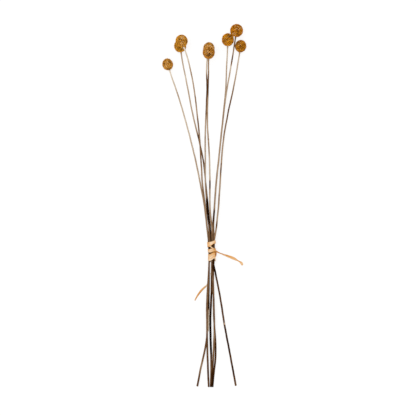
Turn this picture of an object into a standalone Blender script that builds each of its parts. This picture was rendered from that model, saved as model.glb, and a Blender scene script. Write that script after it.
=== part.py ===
"""Dried billy buttons bouquet, lying on a flat surface.

Eight globe flower heads on bare stems, bound with one strip of raffia. The bunch lies along Y,
with the cut feet at -Y and the flower heads at +Y, X across it and Z up. It rests on two of the
flower heads and on one foot. The origin is the middle of the bouquet's box, on the surface that
it lies on.
"""
import math

import bmesh
import bpy
import numpy as np
from mathutils import Matrix, Vector

MM = 0.001

# Gap between neighbouring pieces, and the cutter that stands for the floor, in metres
CLEARANCE = 0.0003
FLOOR_SIZE = (0.4, 1.4, 0.02)

# Stems: the radius at some places along the bunch, from the cut feet to under the heads
TAPER_AT = (0.0, 0.215, 0.255, 0.370, 0.470, 0.600)
TAPER_RADIUS = (0.00150, 0.00135, 0.00130, 0.00120, 0.00110, 0.00100)
STEM_POINTS = 40
STEM_SIDES_LEVEL = 1

# Flower heads
FLORETS = 158
FLORET_DEPTH = 0.00085
FLORET_UNEVENNESS = 0.035
SOCKET_DEPTH = 0.0033
SOCKET_SIDES = 8
SOCKET_MARGIN = 0.0009
GOLDEN_ANGLE = math.pi * (3 - math.sqrt(5))

# Raffia: thickness, its gap over the stems, and the step from one layer to the next
RAFFIA_THICKNESS = 0.0007
RAFFIA_LIFT = 0.00035
RAFFIA_LAYER = 0.0001
RAFFIA_LAYERS = 5
RAFFIA_OVERLAP = 0.07
RAFFIA_LAST_PASS = 0.6
RAFFIA_STEPS = 12

# The strip passes half round the bunch each time, right side to left side and back again. Each
# row is the place along the bunch where a pass starts, and the strip's width in its middle.
RAFFIA_PASSES = (
    (0.2352, 0.0036),
    (0.2484, 0.0066),
    (0.2532, 0.0046),
    (0.2462, 0.0030),
    (0.2380, 0.0046),
    (0.2380, 0.0056),
    (0.2384, 0.0042),
    (0.2305, 0.0050),
    (0.2308, 0.0040),
    (0.2256, 0.0060),
    (0.2240, 0.0040),
)
RAFFIA_END = 0.2205

# Free ends of the strip: points across, along and up, and the width there, in millimetres
RIGHT_TAIL = (
    (7.2, 237.2, 7.5, 2.4), (9.4, 236.1, 7.3, 2.2), (12.4, 234.7, 6.7, 2.0), (17.0, 233.0, 6.0, 1.8),
    (20.8, 231.4, 5.6, 2.4), (28.7, 228.3, 4.6, 3.9), (34.0, 226.2, 3.9, 4.6), (39.3, 224.0, 3.3, 4.1),
    (43.4, 222.0, 3.0, 2.8), (47.6, 219.6, 2.7, 2.0), (50.6, 217.4, 2.6, 3.2), (52.2, 214.8, 2.8, 4.0),
    (52.6, 212.6, 3.4, 3.2),
)
LEFT_TAIL = (
    (2.8, 222.2, 0.95, 3.6), (-1.6, 221.2, 0.9, 3.0), (-4.2, 217.8, 0.85, 2.7),
    (-4.8, 210.0, 0.85, 2.7), (-4.9, 199.0, 0.85, 2.7), (-5.1, 189.0, 0.85, 2.7),
    (-6.0, 182.0, 0.9, 2.7), (-8.6, 177.7, 0.95, 2.8), (-12.7, 174.1, 1.0, 3.2),
    (-17.8, 169.1, 1.1, 3.6), (-23.1, 162.2, 1.3, 3.3), (-27.2, 155.4, 1.5, 2.6),
    (-29.4, 151.0, 1.7, 2.2),
)
SIDE_LOOP = (
    (7.1, 236.8, 8.5, 3.0), (8.0, 235.6, 8.5, 2.8), (8.9, 233.0, 8.4, 2.6), (9.1, 229.6, 8.2, 2.6),
    (8.4, 226.4, 8.0, 2.8), (7.0, 223.8, 7.8, 3.0),
)
SHORT_END = (
    (6.9, 226.8, 9.6, 2.6), (7.6, 223.9, 9.4, 2.6), (7.8, 221.0, 8.8, 2.4), (7.1, 217.6, 8.0, 1.8),
)
KNOT_PLACE = (7.9, 235.8, 7.6)
KNOT_SIZE = (1.7, 1.9, 2.3)

# Stems, foot to head: points across, along and up in millimetres, chosen by hand. With the
# flower heads they make the bouquet 630 mm long.
ROUTES = {
    "a": (
        (41.9, 3, 1.3), (35.8, 36, 1.7), (28.9, 73, 2.1), (23.9, 99, 2.3), (20.1, 121, 2.5),
        (14.5, 158, 2.7), (8.4, 189, 2.9), (2.6, 217, 3.05), (-1.7, 236, 3.1), (-5.0, 253, 3.1),
        (-8.2, 278, 3.8), (-12.7, 316, 4.9), (-19.3, 351, 5.8), (-28.0, 394, 6.6), (-36.4, 429, 7.1),
        (-48.0, 472, 7.5), (-61.0, 515, 7.7), (-69.8, 540, 7.8),
    ),
    "b": (
        (0.2, 166, 2.6), (0.3, 189, 3.0), (0.3, 205, 4.1), (0.3, 217, 5.8), (-0.5, 236, 6.1),
        (-1.2, 253, 6.2), (-3.6, 278, 6.4), (-6.4, 312, 6.8), (-10.4, 354, 7.3), (-14.8, 394, 7.8),
        (-22.0, 429, 8.2), (-32.5, 472, 8.9), (-40.8, 515, 9.4), (-47.4, 548, 9.8), (-51.2, 568, 10.0),
    ),
    "c": (
        (-5.4, 1, 1.9), (-6.5, 30, 2.4), (-7.3, 56, 2.9), (-8.0, 80, 3.3), (-8.5, 108, 3.8),
        (-8.4, 142, 4.6), (-7.4, 168, 5.2), (-5.8, 194, 5.7), (-4.6, 217, 6.1), (-4.7, 236, 6.2),
        (-5.6, 253, 6.2), (-8.0, 279, 8.2), (-11.5, 316, 11.2), (-16.0, 351, 14.2), (-18.6, 394, 17.6),
        (-20.8, 429, 20.0), (-25.1, 472, 22.4), (-30.2, 515, 24.8), (-36.6, 550, 26.8),
        (-43.3, 576, 28.3),
    ),
    "d": (
        (-6.2, 98, 6.0), (-5.7, 120, 6.6), (-5.4, 142, 7.2), (-5.1, 168, 7.95), (-4.7, 194, 8.7),
        (-4.5, 217, 9.2), (-3.9, 236, 9.2), (-3.6, 253, 9.2), (-4.9, 279, 9.3), (-8.0, 316, 9.7),
        (-10.8, 351, 10.1), (-11.3, 394, 10.3), (-11.4, 429, 10.4), (-11.0, 450, 10.5),
        (-10.0, 474, 10.5), (-9.1, 498, 10.4), (-8.5, 520, 10.3), (-9.1, 545, 10.1), (-8.5, 565, 9.9),
    ),
    "e": (
        (-2.1, 1, 1.9), (-1.2, 30, 2.7), (-1.2, 56, 3.5), (-1.9, 80, 4.4), (-2.4, 108, 5.4),
        (-1.9, 137, 6.6), (-0.7, 161, 7.9), (-0.5, 189, 8.7), (-0.1, 217, 9.2), (0.7, 236, 9.2),
        (0.8, 253, 9.2), (0.8, 279, 12.3), (-2.0, 297, 13.2), (-3.1, 312, 13.9), (-3.2, 351, 16.6),
        (-4.0, 394, 19.6),
        (-5.9, 429, 21.8), (-7.3, 452, 22.9), (-7.6, 474, 24.2), (-7.1, 498, 25.7), (-6.4, 520, 27.0),
        (-5.6, 545, 28.4), (-5.8, 564, 29.2),
    ),
    "f": (
        (1.4, 1, 1.9), (3.6, 26, 2.3), (5.9, 47, 2.8), (6.6, 68, 3.3), (5.7, 92, 3.9), (3.6, 125, 4.7),
        (3.1, 158, 5.4), (2.4, 186, 5.9), (3.5, 217, 6.1), (4.4, 236, 6.2), (3.5, 253, 6.2),
        (2.2, 278, 6.4), (4.5, 316, 6.9), (7.1, 351, 7.4), (11.5, 394, 8.1), (15.1, 429, 8.6),
        (19.8, 472, 9.2), (23.9, 515, 9.7), (25.7, 557, 10.2), (26.9, 578, 10.4),
    ),
    "g": (
        (-0.3, 1, 4.8), (0.7, 26, 5.5), (2.4, 50, 6.2), (3.6, 73, 6.9), (4.5, 95, 7.6), (4.2, 125, 8.3),
        (3.1, 158, 9.2), (2.0, 180, 10.4), (1.9, 198, 10.9), (2.6, 217, 11.0), (4.1, 236, 9.8),
        (4.2, 253, 9.2), (3.1, 278, 9.4), (5.0, 316, 9.9), (7.6, 351, 10.4), (12.0, 394, 11.1),
        (15.6, 429, 11.6),
        (20.3, 472, 12.3), (25.7, 515, 13.1), (32.8, 555, 14.1), (38.3, 589, 15.4),
    ),
    "h": (
        (-25.2, 2, 6.4), (-19.3, 33, 7.2), (-14.6, 54, 7.8), (-10.6, 73, 8.4), (-8.3, 92, 9.0),
        (-8.3, 120, 9.8), (-7.8, 146, 10.6), (-6.6, 168, 11.1), (-5.2, 194, 11.8), (-4.5, 217, 12.2),
        (-0.7, 236, 12.2), (3.6, 253, 12.2), (7.9, 279, 12.2), (11.6, 316, 12.1), (14.1, 351, 12.0),
        (16.9, 394, 11.7), (20.0, 429, 11.4), (27.2, 472, 10.9), (36.6, 515, 10.0), (43.5, 552, 9.0),
    ),
}

# Flower heads: centre across, along and up, then width and height, in millimetres
HEADS = {
    "a": (-76.6, 561.4, 7.9, 18.4, 20.5),
    "b": (-54.9, 593.0, 10.7, 20.6, 21.6),
    "c": (-52.2, 601.3, 30.3, 20.8, 21.6),
    "d": (-5.2, 588.2, 9.9, 19.6, 23.1),
    "e": (-5.3, 581.6, 30.0, 20.7, 23.1),
    "f": (27.9, 604.1, 10.8, 20.7, 22.2),
    "g": (43.0, 619.8, 16.8, 22.0, 22.4),
    "h": (50.1, 593.0, 8.5, 19.4, 21.4),
}
RESTING_HEADS = ("a", "h")

HEAD_COLOURS = {
    "a": (0.462, 0.202, 0.040, 1.0),
    "b": (0.323, 0.122, 0.009, 1.0),
    "c": (0.440, 0.181, 0.028, 1.0),
    "d": (0.361, 0.147, 0.022, 1.0),
    "e": (0.381, 0.162, 0.038, 1.0),
    "f": (0.407, 0.138, 0.008, 1.0),
    "g": (0.376, 0.141, 0.014, 1.0),
    "h": (0.332, 0.125, 0.010, 1.0),
}
STEM_COLOURS = {
    "a": (0.075, 0.040, 0.022, 1.0),
    "b": (0.110, 0.066, 0.038, 1.0),
    "c": (0.088, 0.048, 0.027, 1.0),
    "d": (0.135, 0.083, 0.050, 1.0),
    "e": (0.052, 0.028, 0.016, 1.0),
    "f": (0.084, 0.046, 0.024, 1.0),
    "g": (0.150, 0.088, 0.050, 1.0),
    "h": (0.120, 0.070, 0.040, 1.0),
}
RAFFIA_COLOUR = (0.800, 0.500, 0.230, 1.0)
FLORET_ROUGHNESS = 0.95
STEM_ROUGHNESS = 0.75
RAFFIA_ROUGHNESS = 0.65


def start_scene():
    """Empty the scene and return the collections for the parts and for the cutters."""
    for old in list(bpy.data.objects):
        bpy.data.objects.remove(old, do_unlink=True)
    parts = bpy.data.collections.new("dried_billy_buttons_bouquet")
    cutters = bpy.data.collections.new("cutters")
    for group in (parts, cutters):
        bpy.context.scene.collection.children.link(group)
    return parts, cutters


def material(name, colour, roughness):
    """A plain dry finish."""
    finish = bpy.data.materials.new(name)
    finish.use_nodes = True
    shader = finish.node_tree.nodes["Principled BSDF"]
    shader.inputs["Base Color"].default_value = colour
    shader.inputs["Roughness"].default_value = roughness
    shader.inputs["Metallic"].default_value = 0.0
    return finish


def metres(points):
    """Hand-chosen points in millimetres as an array in metres."""
    return np.array(points, dtype=float) * MM


def smooth_run(points, at, values):
    """Values of a smooth cubic through the points, whose column `at` rises steadily."""
    key = points[:, at]
    span = np.diff(key)[:, None]
    slope = np.gradient(points, key, axis=0)
    index = np.clip(np.searchsorted(key, values, side="right") - 1, 0, len(key) - 2)
    step = span[index]
    t = (np.asarray(values) - key[index])[:, None] / step
    start, end = points[index], points[index + 1]
    pull, push = slope[index] * step, slope[index + 1] * step
    return (
        start * (2 * t**3 - 3 * t**2 + 1) + pull * (t**3 - 2 * t**2 + t)
        + end * (3 * t**2 - 2 * t**3) + push * (t**3 - t**2)
    )


def stem_radius(along):
    """The stems thin out from the cut foot to the flower head."""
    return np.interp(along, TAPER_AT, TAPER_RADIUS)


def head_frame(letter):
    """Centre of a head and the direction in which its stem grows into it."""
    centre = Vector(HEADS[letter][:3]) * MM
    neck = Vector(ROUTES[letter][-1]) * MM
    return centre, (centre - neck).normalized()


def stem_centreline(letter):
    """Points along a stem, from its foot to its seat in the head's socket."""
    centre, axis = head_frame(letter)
    half_height = HEADS[letter][4] * MM / 2
    seat = centre - axis * (half_height - SOCKET_DEPTH + CLEARANCE)
    route = np.vstack((metres(ROUTES[letter]), seat))
    return smooth_run(route, 1, np.linspace(route[0, 1], route[-1, 1], STEM_POINTS))


def make_stem(letter, parts, finish):
    """A tapered round stem with flat cut ends."""
    line = stem_centreline(letter)
    name = "stem_" + letter
    curve = bpy.data.curves.new(name, "CURVE")
    curve.dimensions = "3D"
    curve.bevel_depth = 1.0
    curve.bevel_resolution = STEM_SIDES_LEVEL
    curve.use_fill_caps = True
    spline = curve.splines.new("POLY")
    spline.points.add(len(line) - 1)
    spline.points.foreach_set("co", np.column_stack((line, np.ones(len(line)))).ravel())
    spline.points.foreach_set("radius", stem_radius(line[:, 1]))
    curve.materials.append(finish)
    parts.objects.link(bpy.data.objects.new(name, curve))


def floret_tips(half_width, half_height, socket, rng):
    """Floret tips on a golden-angle spiral over the globe, leaving the socket's rim bare."""
    index = np.arange(FLORETS)
    height = 1 - (2 * index + 1) / FLORETS
    ring = np.sqrt(1 - height**2)
    turn = index * GOLDEN_ANGLE
    tips = np.column_stack((
        half_width * ring * np.cos(turn),
        half_width * ring * np.sin(turn),
        half_height * height,
    ))
    bare = (height < 0) & (half_width * ring < socket + SOCKET_MARGIN)
    uneven = 1 - FLORET_UNEVENNESS * rng.random(FLORETS)
    return (tips * uneven[:, None])[~bare]


def floret_globe(letter):
    """Mesh of one head: a low pyramid for each floret, and a blind socket for the stem."""
    half_width, half_height = (size * MM / 2 for size in HEADS[letter][3:])
    inner = (TAPER_RADIUS[-1] + CLEARANCE) / math.cos(math.pi / SOCKET_SIDES)
    rng = np.random.default_rng(ord(letter))
    shape = bmesh.new()
    for tip in floret_tips(half_width, half_height, inner, rng):
        shape.verts.new(tip)
    rim_height = -half_height * math.sqrt(1 - (inner / half_width) ** 2)
    rim = set()
    for side in range(SOCKET_SIDES):
        turn = 2 * math.pi * side / SOCKET_SIDES
        place = (inner * math.cos(turn), inner * math.sin(turn), rim_height)
        rim.add(shape.verts.new(place))
    bmesh.ops.convex_hull(shape, input=shape.verts)
    cap = [face for face in shape.faces if all(corner in rim for corner in face.verts)]
    mouth = bmesh.ops.dissolve_faces(shape, faces=cap)["region"][0]
    between = [edge for edge in shape.edges if not all(corner in rim for corner in edge.verts)]
    slopes = [face for face in shape.faces if face is not mouth]
    bmesh.ops.poke(shape, faces=slopes, offset=-FLORET_DEPTH)
    bmesh.ops.rotate_edges(shape, edges=between)
    deep = bmesh.ops.extrude_discrete_faces(shape, faces=[mouth])["faces"][0]
    bmesh.ops.translate(shape, verts=deep.verts, vec=(0, 0, SOCKET_DEPTH))
    bmesh.ops.recalc_face_normals(shape, faces=shape.faces)
    mesh = bpy.data.meshes.new("flower_head_" + letter)
    shape.to_mesh(mesh)
    shape.free()
    return mesh


def make_head(letter, parts, finish, floor):
    """A globe head on its stem's axis; the ones that carry the bunch rest flat on the floor."""
    mesh = floret_globe(letter)
    mesh.materials.append(finish)
    head = bpy.data.objects.new("flower_head_" + letter, mesh)
    centre, axis = head_frame(letter)
    head.location = centre
    head.rotation_mode = "QUATERNION"
    head.rotation_quaternion = axis.to_track_quat("Z", "Y")
    parts.objects.link(head)
    if letter in RESTING_HEADS:
        flat = head.modifiers.new("flat_rest", "BOOLEAN")
        flat.operation = "DIFFERENCE"
        flat.object = floor


def make_floor(cutters):
    """The cutter under the bunch: its top face is the surface that the bouquet lies on."""
    wide, long, deep = FLOOR_SIZE
    bpy.ops.mesh.primitive_cube_add(size=1, location=(0, long / 2, -deep / 2))
    floor = bpy.context.object
    floor.name = "floor_cutter"
    floor.scale = (wide, long, deep)
    floor.hide_render = True
    floor.display_type = "WIRE"
    for group in list(floor.users_collection):
        group.objects.unlink(floor)
    cutters.objects.link(floor)
    return floor


def wrap_point(bunch, angle, lift):
    """A place on the strip: lifted off the stem that reaches farthest at this angle."""
    out = np.array((math.cos(angle), math.sin(angle)))
    reach = bunch[:, (0, 2)] @ out + bunch[:, 3]
    far = bunch[np.argmax(reach)]
    across, up = far[[0, 2]] + (far[3] + lift) * out
    return (across, far[1], up)


def bunch_at(along):
    """Centre and radius of every stem where the bunch is cut across."""
    rows = []
    for route in ROUTES.values():
        centre = smooth_run(metres(route), 1, [along])[0]
        rows.append((*centre, stem_radius(along)))
    return np.array(rows)


def strip_mesh(name, sections):
    """A closed strip through sections of four corners each."""
    count = len(sections)
    corners = [corner for section in sections for corner in section]
    faces = [(3, 2, 1, 0), tuple(4 * (count - 1) + k for k in range(4))]
    for step in range(count - 1):
        for side in range(4):
            after = (side + 1) % 4
            low, high = 4 * step, 4 * step + 4
            faces.append((low + side, low + after, high + after, high + side))
    mesh = bpy.data.meshes.new(name)
    mesh.from_pydata(corners, [], faces)
    shape = bmesh.new()
    shape.from_mesh(mesh)
    bmesh.ops.recalc_face_normals(shape, faces=shape.faces)
    shape.to_mesh(mesh)
    shape.free()
    return mesh


def wrap_sections(number):
    """Sections of one half turn of the strip, which lies close on the stems."""
    starts = [row[0] for row in RAFFIA_PASSES] + [RAFFIA_END]
    middles = np.arange(len(RAFFIA_PASSES)) + 0.5
    widths = [row[1] for row in RAFFIA_PASSES]
    lift = RAFFIA_LIFT + RAFFIA_LAYER * (number % RAFFIA_LAYERS)
    first = number - RAFFIA_OVERLAP
    last = number + 1 + RAFFIA_OVERLAP
    if number == len(RAFFIA_PASSES) - 1:
        last = number + RAFFIA_LAST_PASS
    sections = []
    for turned in np.linspace(first, last, RAFFIA_STEPS):
        along = np.interp(turned, np.arange(len(starts)), starts)
        half = np.interp(turned, middles, widths) / 2
        angle = -math.pi * turned
        low, high = bunch_at(along - half), bunch_at(along + half)
        over = lift + RAFFIA_THICKNESS
        sections.append((
            wrap_point(low, angle, lift), wrap_point(high, angle, lift),
            wrap_point(high, angle, over), wrap_point(low, angle, over),
        ))
    return sections


def free_sections(points, upright):
    """Sections of a free end, whose width runs level or, where upright, up and down."""
    line = metres(points)
    pull = np.gradient(line[:, :3], axis=0)
    pull /= np.linalg.norm(pull, axis=1)[:, None]
    side = np.cross(pull, (0.0, 0.0, 1.0))
    side /= np.linalg.norm(side, axis=1)[:, None]
    face = np.cross(side, pull)
    if upright:
        side, face = face, side
    across = side * line[:, 3:] / 2
    thick = face * RAFFIA_THICKNESS / 2
    centre = line[:, :3]
    rows = np.stack((
        centre - across - thick, centre + across - thick,
        centre + across + thick, centre - across + thick,
    ), axis=1)
    return [[tuple(corner) for corner in row] for row in rows]


def make_raffia(parts, cutters, finish):
    """One strip of raffia: its turns, knot, loop and two tails joined in one solid."""
    strips = [wrap_sections(number) for number in range(len(RAFFIA_PASSES))]
    strips += [free_sections(RIGHT_TAIL, False), free_sections(LEFT_TAIL, False)]
    strips += [free_sections(SIDE_LOOP, True), free_sections(SHORT_END, True)]
    joined = bpy.data.collections.new("raffia_strips")
    cutters.children.link(joined)
    for number, sections in enumerate(strips[1:], start=1):
        name = f"raffia_strip_{number}"
        joined.objects.link(bpy.data.objects.new(name, strip_mesh(name, sections)))
    knot = bpy.data.objects.new("raffia_knot", bpy.data.meshes.new("raffia_knot"))
    shape = bmesh.new()
    swell = Matrix.Diagonal((*metres(KNOT_SIZE), 1.0))
    bmesh.ops.create_icosphere(
        shape, subdivisions=1, radius=1.0, matrix=Matrix.Translation(metres(KNOT_PLACE)) @ swell)
    shape.to_mesh(knot.data)
    shape.free()
    joined.objects.link(knot)

    mesh = strip_mesh("raffia_tie", strips[0])
    mesh.materials.append(finish)
    tie = bpy.data.objects.new("raffia_tie", mesh)
    parts.objects.link(tie)
    union = tie.modifiers.new("one_strip", "BOOLEAN")
    union.operation = "UNION"
    union.operand_type = "COLLECTION"
    union.collection = joined
    union.solver = "EXACT"
    bpy.context.view_layer.update()
    whole = bpy.data.meshes.new_from_object(tie.evaluated_get(bpy.context.evaluated_depsgraph_get()))
    tie.modifiers.remove(union)
    tie.data = whole
    whole.name = "raffia_tie"
    for strip in list(joined.objects):
        bpy.data.objects.remove(strip, do_unlink=True)
    bpy.data.collections.remove(joined)


def centre_on_origin(objects):
    """Move everything so that the middle of the bouquet's box stands over the origin."""
    bpy.context.view_layer.update()
    graph = bpy.context.evaluated_depsgraph_get()
    corners = []
    for piece in objects:
        if piece.type in {"MESH", "CURVE"} and not piece.hide_render:
            solid = piece.evaluated_get(graph)
            mesh = solid.to_mesh()
            spots = np.empty(3 * len(mesh.vertices))
            mesh.vertices.foreach_get("co", spots)
            turn = np.array(piece.matrix_world)
            places = spots.reshape(-1, 3) @ turn[:3, :3].T + turn[:3, 3]
            corners += [places.min(axis=0), places.max(axis=0)]
            solid.to_mesh_clear()
    low, high = np.min(corners, axis=0), np.max(corners, axis=0)
    middle = Vector(((low[0] + high[0]) / 2, (low[1] + high[1]) / 2, low[2]))
    for piece in objects:
        piece.location -= middle


def main():
    """Build the bouquet."""
    parts, cutters = start_scene()
    floor = make_floor(cutters)
    for letter in ROUTES:
        stem_finish = material("stem_" + letter, STEM_COLOURS[letter], STEM_ROUGHNESS)
        make_stem(letter, parts, stem_finish)
        head_finish = material("flower_head_" + letter, HEAD_COLOURS[letter], FLORET_ROUGHNESS)
        make_head(letter, parts, head_finish, floor)
    make_raffia(parts, cutters, material("raffia_tie", RAFFIA_COLOUR, RAFFIA_ROUGHNESS))
    centre_on_origin([*parts.objects, *cutters.objects])


main()
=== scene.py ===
"""Looks of the dried billy buttons bouquet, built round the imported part.

Every flower head gets its florets, every stem its ribs, leaf scars and cut end, and the tie is a
real strip of raffia. The stems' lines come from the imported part, and so does the zero that all
other places are measured from.
"""
import math

import bpy
import numpy as np
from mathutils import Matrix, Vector


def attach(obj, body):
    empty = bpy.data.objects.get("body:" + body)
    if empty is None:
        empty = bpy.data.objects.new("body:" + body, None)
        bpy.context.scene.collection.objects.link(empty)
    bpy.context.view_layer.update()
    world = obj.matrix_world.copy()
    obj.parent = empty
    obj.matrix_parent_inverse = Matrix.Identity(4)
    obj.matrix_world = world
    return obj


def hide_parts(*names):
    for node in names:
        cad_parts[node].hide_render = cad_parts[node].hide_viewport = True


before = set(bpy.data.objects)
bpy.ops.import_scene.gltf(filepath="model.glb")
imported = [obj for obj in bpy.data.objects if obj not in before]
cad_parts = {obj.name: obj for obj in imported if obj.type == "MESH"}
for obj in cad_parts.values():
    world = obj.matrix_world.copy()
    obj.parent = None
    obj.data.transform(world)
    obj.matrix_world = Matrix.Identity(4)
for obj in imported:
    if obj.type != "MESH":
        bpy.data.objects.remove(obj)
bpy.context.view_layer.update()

MM = 0.001
GOLDEN_ANGLE = math.pi * (3 - math.sqrt(5))
UP = np.array((0.0, 0.0, 1.0))
RIGHT = np.array((1.0, 0.0, 0.0))
WHITE = (1.0, 1.0, 1.0, 1.0)
# Random starts: an angle in radians, and a place in a pattern
ANY_TURN = 6.0
ANY_PLACE = 10.0

# Camera over the bunch: the middle of its view, the width that it sees at the height of the view
# plane, and its own height, all in metres, and its sensor in millimetres
VIEW_CENTRE = (0.00638, -0.00379)
VIEW_WIDTH = 0.722
VIEW_PLANE = 0.010
CAMERA_HEIGHT = 8.0
SENSOR_WIDTH = 36.0

# Stage: the floor's width, depth under the bunch, grey and glow, and the soft lamp
FLOOR_WIDTH = 12.0
FLOOR_DEPTH = 0.0001
FLOOR_GREY = 0.20
FLOOR_GLOW = 0.79
LAMP_PLACE = (-0.35, 0.25, 1.8)
LAMP_WIDTH = 1.5
LAMP_POWER = 15.0

# Flower heads, as in the part: centre across, along and up, then width and height, in millimetres,
# measured from the same zero as the first point of stem_a
STEM_A_FOOT = (41.9, 3.0, 1.3)
HEADS = {
    "a": (-76.6, 561.4, 7.9, 18.4, 20.5),
    "b": (-54.9, 593.0, 10.7, 20.6, 21.6),
    "c": (-52.2, 601.3, 30.3, 20.8, 21.6),
    "d": (-5.2, 588.2, 9.9, 19.6, 23.1),
    "e": (-5.3, 581.6, 30.0, 20.7, 23.1),
    "f": (27.9, 604.1, 10.8, 20.7, 22.2),
    "g": (43.0, 619.8, 16.8, 22.0, 22.4),
    "h": (50.1, 593.0, 8.5, 19.4, 21.4),
}
# Clusters of florets on a head, how far short of the globe they stand at most, as a share, and in
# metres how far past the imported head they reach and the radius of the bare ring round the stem
CLUSTERS = 158
UNEVENNESS = 0.035
FLORET_REACH = 0.0006
BARE_RING = 0.0023
# Florets round each cluster's middle one: how far out and how large, as shares of the clusters'
# pitch, how much they lean outwards, and how much lower they stand, at least and more, in metres
FLORETS_ROUND = 6
RING_REACH = 0.335
FLORET_SIZE = 0.185
RING_LEAN = 0.42
RING_DROP = 0.00034
MORE_DROP = 0.00010
# How deep each floret sits, at least and more, in metres
FLORET_SINK = 0.00005
MORE_SINK = 0.00022
# Random spread of the florets' turn round their cluster, reach, size and facing
TURN_SPREAD = 0.10
REACH_SPREAD = 0.06
SIZE_SPREAD = 0.07
FACING_SPREAD = 0.07
# Least height of a floret over the surface that the bunch lies on, in metres
LEAST_HEIGHT = 0.00003
FLORET_CORNERS = 10

# One floret, in floret radii: radius and height, then its share of light, from 0 in full painted
# shade to 1 unshaded, from its root to its throat
FLORET_PROFILE = (
    (0.0, -2.7, 0.0),
    (0.88, -0.75, 0.30),
    (1.00, 0.0, 1.0),
    (0.50, -0.22, 0.55),
    (0.0, -0.85, 0.0),
)
LOBE_REACH = 0.17
LOBE_RISE = 0.12

# The core of a head, darkened with painted shade for the gaps between the florets: metres inside
# the imported one, rows, corners and tone
CORE_DEPTH = 0.0011
CORE_ROWS = 12
CORE_CORNERS = 20
CORE_TONE = 0.4

# Colour of each head's florets at their middle tone
HEAD_COLOURS = {
    "a": (0.690, 0.330, 0.050),
    "b": (0.740, 0.345, 0.022),
    "c": (0.700, 0.330, 0.036),
    "d": (0.680, 0.315, 0.032),
    "e": (0.620, 0.275, 0.036),
    "f": (0.700, 0.290, 0.012),
    "g": (0.620, 0.235, 0.009),
    "h": (0.572, 0.232, 0.012),
}
# Pale colour of faded florets, also used for the painted rim highlights on heads d and e
FADED_AND_HIGHLIGHT_COLOUR = (0.88, 0.63, 0.32, 1.0)
WITHERED_COLOUR = (0.115, 0.052, 0.016, 1.0)
# Tone of the florets: its middle, and its random spread between clusters and between florets
MIDDLE_TONE = 0.50
CLUSTER_SPREAD = 0.13
TONE_SPREAD = 0.09
# Patches of faded and of withered florets, as seen from above: across and along from the head's
# middle and size, in half widths, then how many of the florets there have turned. The arcs of fully
# pale spots along the tops of heads d and e are painted rim highlights.
FADED_AND_HIGHLIT = {
    "a": ((-0.30, -0.35, 0.30, 0.7), (-0.1, 0.45, 0.22, 0.5)),
    "b": ((0.45, -0.30, 0.25, 0.7),),
    "c": ((0.15, 0.45, 0.28, 0.8), (-0.05, -0.45, 0.30, 0.5)),
    # Head d: the six spots form an arc of painted rim highlight along the top edge of head e
    "d": ((-0.78, 0.22, 0.16, 1.0), (-0.52, 0.44, 0.16, 1.0), (-0.18, 0.55, 0.16, 1.0),
          (0.18, 0.55, 0.16, 1.0), (0.52, 0.44, 0.16, 1.0), (0.78, 0.22, 0.16, 1.0)),
    # Head e: the six spots after the first two form an arc of painted rim highlight along its top
    "e": ((-0.10, 0.10, 0.40, 0.3), (0.35, -0.35, 0.22, 0.3), (-0.76, 0.62, 0.15, 1.0),
          (-0.46, 0.85, 0.15, 1.0), (-0.15, 0.95, 0.15, 1.0), (0.15, 0.95, 0.15, 1.0),
          (0.46, 0.85, 0.15, 1.0), (0.76, 0.62, 0.15, 1.0)),
    "f": ((-0.45, 0.05, 0.20, 0.3),),
    "g": ((-0.44, -0.48, 0.26, 0.5), (0.20, 0.35, 0.35, 0.2)),
    "h": ((-0.15, 0.40, 0.25, 0.3),),
}
WITHERED = {
    "a": ((0.40, 0.45, 0.35, 0.6), (0.35, -0.75, 0.3, 0.7)),
    "b": ((0.1, -0.65, 0.40, 0.5),),
    "c": ((-0.1, 0.1, 0.30, 0.4), (0.7, 0.1, 0.3, 0.4)),
    "d": ((-0.35, 0.88, 0.26, 0.5), (0.0, 0.95, 0.26, 0.5), (0.35, 0.88, 0.26, 0.5)),
    "e": ((0.12, -0.45, 0.28, 0.9), (0.6, 0.2, 0.3, 0.5), (0.0, 0.62, 0.24, 0.5)),
    "f": ((0.20, 0.65, 0.35, 0.7), (-0.2, -0.1, 0.25, 0.3)),
    "g": ((0.30, -0.35, 0.35, 0.5), (-0.4, 0.4, 0.3, 0.3)),
    "h": ((-0.45, 0.50, 0.35, 0.7), (0.1, -0.2, 0.35, 0.4)),
}
# Turned florets: how far those of a patch have turned at least, the share of strays outside the
# patches, and how far these have turned. Those of a patch may have turned by TURNED_MORE more.
FADING_AND_HIGHLIGHT = (0.55, 0.04, 0.5)
WITHERING = (0.50, 0.05, 0.7)
TURNED_MORE = 0.4
PATCH_PULL = 1.3

# Stems: rows along, corners round and ribs, whose section follows a power
STEM_ROWS = 300
STEM_CORNERS = 28
STEM_RIBS = 7
RIB_POWER = 0.6
# As shares of the radius: how far the ribs stand out, how deep the grooves between them go, and
# how much a stem has shrivelled. The shrivelled places run aslant by this many metres.
RIB_FULLNESS = 1.06
GROOVE_DEPTH = 0.16
SHRIVEL = 0.05
SHRIVEL_SLANT = 0.013
# How the ribs turn along the stem, in radians
TWIST_WANDER = 1.2
# How strongly the line wavers. Then in metres: how far it wavers and how much the radius grows at
# most, the gap that is left to other stems, and the length at each end over which it settles
WAVER_GAIN = 1.6
MOST_WAVER = 0.00012
MOST_SWELL = 0.00018
NEAR_GAP = 0.0003
STILL_END = 0.03
# Collar under the flower head: how much it swells, as a share, and in metres how far below the
# stem's top its middle is, its length, and how far above its middle it ends
COLLAR_SWELL = 0.45
COLLAR_PLACE = 0.0033
COLLAR_LENGTH = 0.0016
COLLAR_TOP = 0.0008
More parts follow.
